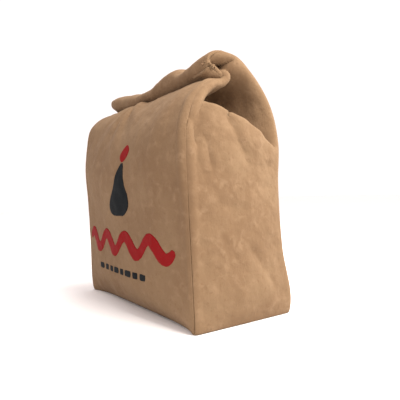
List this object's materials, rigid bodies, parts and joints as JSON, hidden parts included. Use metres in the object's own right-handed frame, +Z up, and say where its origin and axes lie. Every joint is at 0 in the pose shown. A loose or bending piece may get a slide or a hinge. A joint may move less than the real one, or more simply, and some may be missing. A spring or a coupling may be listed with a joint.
{
  "type": "cloth bag hand puppet",
  "caption": "Kraft-brown cloth hand puppet shaped like a rolled-top paper bag, with padded walls, folded gussets, a hand slot underneath and a roll that lifts.",
  "frame": {"origin": "middle of the object's footprint, at the height of the surface that the base rests on", "axes": "+Z up, +X to the right of someone who looks at the printed front, and the printed front faces -Y"},
  "size_m": [0.203, 0.1074, 0.1975],
  "materials": {
    "kraft_cloth": "matte",
    "stiffener": "matte",
    "binding_tape": "matte",
    "lining": "matte",
    "batting": "matte",
    "thread": "matte",
    "dark_print": "matte",
    "red_print": "matte"
  },
  "bodies": {
    "bag": {"front_panel": "kraft_cloth", "back_panel": "kraft_cloth", "back_yoke": "kraft_cloth", "right_gusset": "kraft_cloth", "left_gusset": "kraft_cloth", "right_gusset_fold": "kraft_cloth", "left_gusset_fold": "kraft_cloth", "base_panel": "kraft_cloth", "base_board": "stiffener", "slot_binding": "binding_tape", "hand_sleeve": "lining", "front_filling": "batting", "back_filling": "batting", "right_filling": "batting", "left_filling": "batting", "print_emblem": "dark_print", "print_leaf": "red_print", "print_wave": "red_print", "print_bar": "dark_print"},
    "roll_top": {"roll_cover": "kraft_cloth", "roll_tongue": "kraft_cloth", "roll_filling": "batting", "tack_centre": "thread", "tack_right": "thread"}
  },
  "joints": [
    {"name": "roll_lift", "type": "hinge", "parent": "bag", "child": "roll_top", "pos_m": [0, 0.00337, 0.1755], "axis": [-1, 0, 0], "range_deg": [0, 75], "deforming": ["back_yoke", "right_gusset_fold", "left_gusset_fold"]}
  ]
}
